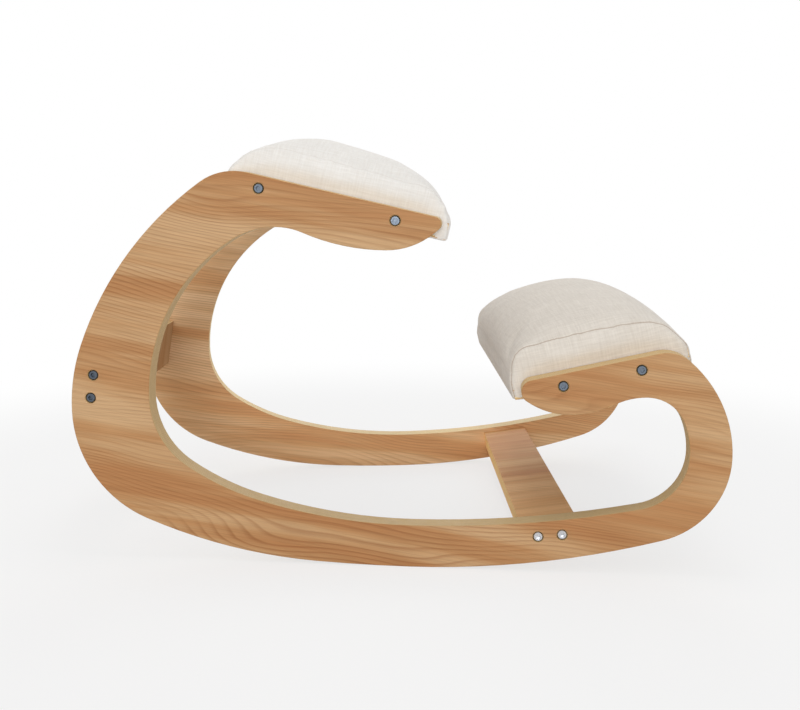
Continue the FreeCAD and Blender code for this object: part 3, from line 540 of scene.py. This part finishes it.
def lay_threads(piece, pad):
    """Gives the cover its cloth directions as a UV map in metres, and its distance from a seam.

    The distance counts up over the strip and down over the side panels, so that it passes through
    zero at the seam itself.
    """
    fine_step, seam_inset = 0.001, 0.001
    side_zone, side_facing, far_shift = 0.012, 0.8, 3.0
    place, along, up, length = pad_frame(pad)
    mesh = piece.data
    surface = BVHTree.FromObject(piece, bpy.context.evaluated_depsgraph_get())
    edge = profile(pad, length, 0.0)
    dense = []
    for (x0, z0), (x1, z1) in zip(edge, edge[1:]):
        steps = max(int(math.hypot(x1 - x0, z1 - z0) / fine_step), 1)
        dense += [(x0 + (x1 - x0) * i / steps, z0 + (z1 - z0) * i / steps) for i in range(steps)]
    travelled = [0.0]
    for (x0, z0), (x1, z1) in zip(dense, dense[1:]):
        travelled.append(travelled[-1] + math.hypot(x1 - x0, z1 - z0))
    flat = kdtree.KDTree(len(dense))
    for i, (x, z) in enumerate(dense):
        flat.insert((x, z, 0.0), i)
    flat.balance()
    seam_points = []
    for side in (-1, 1):
        for i, (x, z) in enumerate(dense):
            spot = place + along * x + up * z
            spot.y = side * (half_room(spot.x) - seam_inset)
            ahead = dense[min(i + 2, len(dense) - 1)]
            behind = dense[max(i - 2, 0)]
            inward = along * (ahead[1] - behind[1]) - up * (ahead[0] - behind[0])
            seam_points.append((surface.find_nearest(spot)[0], side, inward.normalized()))
    seams = kdtree.KDTree(len(seam_points))
    for i, (spot, side, inward) in enumerate(seam_points):
        seams.insert(spot, i)
    seams.balance()
    reaches = []
    for vertex in mesh.vertices:
        spot, i, reach = seams.find(vertex.co)
        side, inward = seam_points[i][1:]
        on_strip = -side * (vertex.co.y - spot.y) > (vertex.co - spot).dot(inward)
        reaches.append(reach if on_strip else -reach)
    away = mesh.attributes.new("seam", "FLOAT", "POINT")
    away.data.foreach_set("value", reaches)
    threads = mesh.uv_layers.new(name="threads")
    for polygon in mesh.polygons:
        beside = half_room(polygon.center.x) - abs(polygon.center.y)
        is_side = beside < side_zone and abs(polygon.normal.y) > side_facing
        for loop in polygon.loop_indices:
            spot = mesh.vertices[mesh.loops[loop].vertex_index].co
            x = (spot - place).dot(along)
            z = (spot - place).dot(up)
            if is_side:
                threads.data[loop].uv = (x, z)
            else:
                nearest = flat.find((x, z, 0.0))[1]
                threads.data[loop].uv = (travelled[nearest], spot.y + far_shift)


def linen(name, light, shade, crease_shade_strength):
    """Slubby linen between a light and a shade colour, with painted shade along the side seams,
    where the cover meets the frames; the last argument sets how dark.
    """
    recipe = Recipe(name)
    threads = recipe.node("ShaderNodeUVMap", uv_map="threads").outputs[0]
    place = recipe.node("ShaderNodeTexCoord").outputs["Object"]
    warp = recipe.noise(threads, (1500.0, 70.0, 1.0), 2.0, 0.6)
    weft = recipe.noise(threads, (70.0, 1500.0, 1.0), 2.0, 0.6, (5.0, 3.0, 0.0))
    slubs = recipe.noise(threads, (420.0, 26.0, 1.0), 3.0, 0.6, (9.0, 1.0, 0.0))
    cross_slubs = recipe.noise(threads, (24.0, 420.0, 1.0), 3.0, 0.6, (2.0, 7.0, 0.0))
    cloudy = recipe.noise(place, (22.0, 22.0, 22.0), 3.0, 0.5)
    weave = recipe.math("MAXIMUM", warp, weft)
    cross_slubs = recipe.math("MULTIPLY", cross_slubs, 0.5)
    slub = recipe.math("ADD", recipe.math("MULTIPLY", slubs, 0.5), cross_slubs)
    tone = recipe.ramp(slub, [(0.3, shade), (0.7, light)])
    tone = recipe.blend(1.0, tone, recipe.ramp(weave, [(0.45, 0.93), (0.75, 1.03)]), "MULTIPLY")
    tone = recipe.blend(1.0, tone, recipe.ramp(cloudy, [(0.3, 0.975), (0.7, 1.015)]), "MULTIPLY")
    away = recipe.node("ShaderNodeAttribute", attribute_name="seam").outputs["Fac"]
    seam = recipe.math("MULTIPLY", recipe.math("ABSOLUTE", away), 100.0)
    # Painted shade: the cover darkens toward a brown near the side seams, in the crease where it
    # meets the frames.
    painted_crease_shade = recipe.ramp(seam, [(0.0, 1.0), (0.04, 0.9), (0.1, 0.0)])
    tone = recipe.blend(recipe.math("MULTIPLY", painted_crease_shade, crease_shade_strength), tone, paint(150, 118, 92))
    recipe.set(Base_Color=tone)
    recipe.shader.inputs["Roughness"].default_value = 0.9
    recipe.shader.inputs["Sheen Weight"].default_value = 0.15
    recipe.shader.inputs["Sheen Roughness"].default_value = 0.5
    recipe.shader.inputs["Specular IOR Level"].default_value = 0.2
    valley = recipe.ramp(seam, [(0.0, 0.0), (0.3, 1.0)], "EASE")
    rough_cloth = recipe.math("MULTIPLY", slub, 0.2)
    height = recipe.math("ADD", recipe.math("MULTIPLY", weave, 0.12), rough_cloth)
    height = recipe.math("ADD", height, recipe.math("MULTIPLY", valley, 0.9))
    recipe.bump(height, 0.5, 0.0009)
    return recipe.material


# The last figure of each linen is the strength of its painted shade along the side seams.
for pad, cloth in (
    (SEAT, linen("linen_seat", paint(246, 244, 240), paint(233, 228, 221), 0.1)),
    (KNEE, linen("linen_knee", paint(238, 231, 221), paint(217, 208, 196), 0.55)),
):
    piece = to_object(pad["name"] + "_cushion", pad_shell(pad, DRAW_IN))
    even_cells(piece)
    inflate(piece, pad)
    fit_to_board(piece, pad)
    for polygon in piece.data.polygons:
        polygon.use_smooth = True
    lay_threads(piece, pad)
    piece.data.materials.clear()
    piece.data.materials.append(cloth)
    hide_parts(pad["name"] + "_cover", pad["name"] + "_foam")
    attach(piece, "root")

# Staples. The black cloth and the cover's hem are stapled to the base board all round, by a row of
# wire staples that is set a little in from the cloth's edge.
STAPLE_INSET = 0.019
STAPLE_DROP = 0.0011


def staple_tree():
    """Sets a staple at even steps along a path, with its long side along the path."""
    tree = bpy.data.node_groups.new("staples", "GeometryNodeTree")
    face = tree.interface
    face.new_socket("Geometry", in_out="OUTPUT", socket_type="NodeSocketGeometry")
    face.new_socket("Path", in_out="INPUT", socket_type="NodeSocketGeometry")
    named = {}
    for name, kind in (
        ("Spacing", "NodeSocketFloat"),
        ("Crown", "NodeSocketFloat"),
        ("Wire", "NodeSocketFloat"),
        ("Metal", "NodeSocketMaterial"),
    ):
        named[name] = face.new_socket(name, in_out="INPUT", socket_type=kind).identifier
    made = {}
    for name, kind in (
        ("given", "NodeGroupInput"),
        ("curve", "GeometryNodeMeshToCurve"),
        ("steps", "GeometryNodeResampleCurve"),
        ("size", "ShaderNodeCombineXYZ"),
        ("staple", "GeometryNodeMeshCube"),
        ("tangent", "GeometryNodeInputTangent"),
        ("turn", "FunctionNodeAlignRotationToVector"),
        ("set", "GeometryNodeInstanceOnPoints"),
        ("solid", "GeometryNodeRealizeInstances"),
        ("coat", "GeometryNodeSetMaterial"),
        ("result", "NodeGroupOutput"),
    ):
        made[name] = tree.nodes.new(kind)
    made["steps"].mode = "LENGTH"
    made["turn"].axis = "X"
    for start, output, end, target in (
        ("given", "Path", "curve", "Mesh"),
        ("curve", "Curve", "steps", "Curve"),
        ("given", "Spacing", "steps", "Length"),
        ("given", "Crown", "size", "X"),
        ("given", "Wire", "size", "Y"),
        ("given", "Wire", "size", "Z"),
        ("size", "Vector", "staple", "Size"),
        ("tangent", "Tangent", "turn", "Vector"),
        ("steps", "Curve", "set", "Points"),
        ("staple", "Mesh", "set", "Instance"),
        ("turn", "Rotation", "set", "Rotation"),
        ("set", "Instances", "solid", "Geometry"),
        ("solid", "Geometry", "coat", "Geometry"),
        ("given", "Metal", "coat", "Material"),
        ("coat", "Geometry", "result", "Geometry"),
    ):
        tree.links.new(made[start].outputs[output], made[end].inputs[target])
    return tree, named


def staple_path(pad):
    """A closed path under a cushion, inset from its edge, in the cushion's own axes."""
    place, along, up, length = pad_frame(pad)
    near, far = STAPLE_INSET, length - STAPLE_INSET
    corners = []
    for x, side in ((near, -1), (far, -1), (far, 1), (near, 1)):
        wide = half_room((place + along * x).x) - STAPLE_INSET
        corners.append((x, side * wide, -STAPLE_DROP))
    path = bpy.data.meshes.new(pad["name"] + "_staple_path")
    path.from_pydata(corners, [(0, 1), (1, 2), (2, 3), (3, 0)], [])
    return path


staple_steel = metal("staple_steel", paint(176, 178, 182), 0.35, 600.0)
staples, inputs = staple_tree()
staple_values = {"Spacing": 0.035, "Crown": 0.011, "Wire": 0.0008, "Metal": staple_steel}
for pad in (SEAT, KNEE):
    piece = bpy.data.objects.new(pad["name"] + "_staples", staple_path(pad))
    bpy.context.scene.collection.objects.link(piece)
    setter = piece.modifiers.new("staples", "NODES")
    setter.node_group = staples
    for name, value in staple_values.items():
        setter[inputs[name]] = value
    apply_all(piece)
    place, along, up, length = pad_frame(pad)
    turn = Matrix((along, (0, 1, 0), up)).transposed().to_4x4()
    piece.data.transform(Matrix.Translation(place) @ turn)
    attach(piece, "root")

# Floor and backdrop. A plain white studio floor that keeps the chair's soft shadow and turns to
# pure white further out.
floor_shell = bmesh.new()
bmesh.ops.create_circle(floor_shell, cap_ends=True, segments=96, radius=12.0)
floor = to_object("studio_floor", floor_shell)
white = Recipe("studio_white")
ring_place = white.node("ShaderNodeTexCoord").outputs["Object"]
length_node = white.node("ShaderNodeVectorMath", operation="LENGTH")
white.feed(length_node.inputs[0], ring_place)
far_out = white.math("DIVIDE", length_node.outputs["Value"], 2.0)
far = white.ramp(far_out, [(0.3, 0.0), (0.6, 1.0)], "EASE")
seen = white.node("ShaderNodeLightPath").outputs["Is Camera Ray"]
white.set(Base_Color=(0.86, 0.86, 0.86, 1.0))
white.shader.inputs["Roughness"].default_value = 0.9
white.shader.inputs["Specular IOR Level"].default_value = 0.0
glow = white.node("ShaderNodeEmission")
mixer = white.node("ShaderNodeMixShader")
share = white.math("MULTIPLY", seen, white.math("ADD", white.math("MULTIPLY", far, 0.3), 0.7))
white.feed(mixer.inputs[0], share)
white.feed(mixer.inputs[1], white.shader.outputs[0])
white.feed(mixer.inputs[2], glow.outputs[0])
white.feed(white.tree.nodes["Material Output"].inputs["Surface"], mixer.outputs[0])
floor.data.materials.append(white.material)

# Light. A bright even studio: white all round, a large soft lamp at either side of the chair, and
# a small one overhead.
world = bpy.data.worlds.new("studio")
bpy.context.scene.world = world
world.use_nodes = True
nodes = world.node_tree.nodes
links = world.node_tree.links
backdrop = nodes["Background"]
backdrop.inputs["Color"].default_value = (1.0, 1.0, 1.0, 1.0)
paths = nodes.new("ShaderNodeLightPath")
direct = nodes.new("ShaderNodeMath")
direct.operation = "MAXIMUM"
links.new(paths.outputs["Is Camera Ray"], direct.inputs[0])
links.new(paths.outputs["Is Glossy Ray"], direct.inputs[1])
clear = nodes.new("ShaderNodeMath")
clear.operation = "MAXIMUM"
links.new(direct.outputs[0], clear.inputs[0])
links.new(paths.outputs["Is Transmission Ray"], clear.inputs[1])
level = nodes.new("ShaderNodeMapRange")
level.inputs["To Min"].default_value = 0.58
level.inputs["To Max"].default_value = 1.0
links.new(clear.outputs[0], level.inputs["Value"])
links.new(level.outputs["Result"], backdrop.inputs["Strength"])


def soft_lamp(name, place, aim, size, power):
    data = bpy.data.lights.new(name, "AREA")
    data.shape = "DISK"
    data.size = size
    data.energy = power
    lamp = bpy.data.objects.new(name, data)
    lamp.location = place
    lamp.rotation_euler = (Vector(aim) - Vector(place)).to_track_quat("-Z", "Y").to_euler()
    bpy.context.scene.collection.objects.link(lamp)


CHAIR_MIDDLE = (0.0, 0.0, 0.25)
soft_lamp("front", (-0.3, -4.4, 0.85), CHAIR_MIDDLE, 1.4, 62.0)
soft_lamp("middle", (0.0, -0.14, 1.7), (0.0, 0.22, 0.1), 0.7, 4.0)
soft_lamp("back", (0.6, 3.4, 2.2), CHAIR_MIDDLE, 2.2, 26.0)

# Camera, at the photograph's place: a close look from the chair's right side, a little downward.
camera_data = bpy.data.cameras.new("camera")
camera_data.lens = 45.0
camera_data.sensor_width = 36.0
camera = bpy.data.objects.new("camera", camera_data)
yaw, pitch = math.radians(0.657), math.radians(9.203)
look = Vector((math.sin(yaw) * math.cos(pitch), math.cos(yaw) * math.cos(pitch), -math.sin(pitch)))
camera.location = (-0.0059, -1.2763, 0.4085)
camera.rotation_euler = look.to_track_quat("-Z", "Y").to_euler()
bpy.context.scene.collection.objects.link(camera)
bpy.context.scene.camera = camera
bpy.context.scene.view_settings.view_transform = "Standard"
